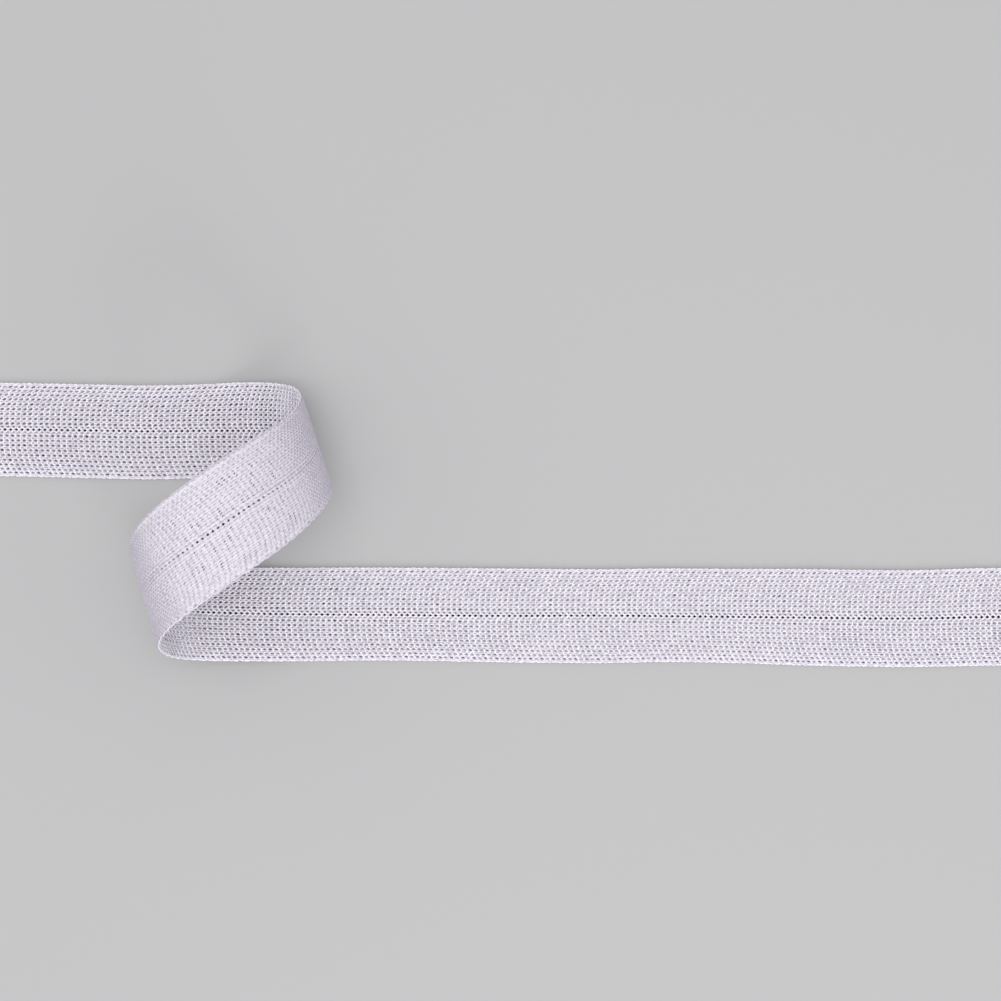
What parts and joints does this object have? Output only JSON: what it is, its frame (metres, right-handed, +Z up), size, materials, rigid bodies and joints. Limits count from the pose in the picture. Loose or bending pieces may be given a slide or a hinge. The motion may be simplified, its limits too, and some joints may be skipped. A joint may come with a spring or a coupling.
{
  "type": "curled length of fold-over trim",
  "caption": "Open knitted fold-over tape with a fold line along its middle, lying flat, lifting into a loose standing curl and running on flat. It is folded over a cloth's edge and sewn.",
  "frame": {"origin": "middle of the footprint, on the surface that the trim lies on", "axes": "+X along the flat runs, towards the long run's cut end; +Y to the back, where the short run lies; +Z up"},
  "size_m": [0.3594, 0.0968, 0.0659],
  "materials": {
    "knit": "matte white knit with a cool tint"
  },
  "bodies": {
    "root": {"fold_over_trim": "knit"}
  },
  "joints": []
}
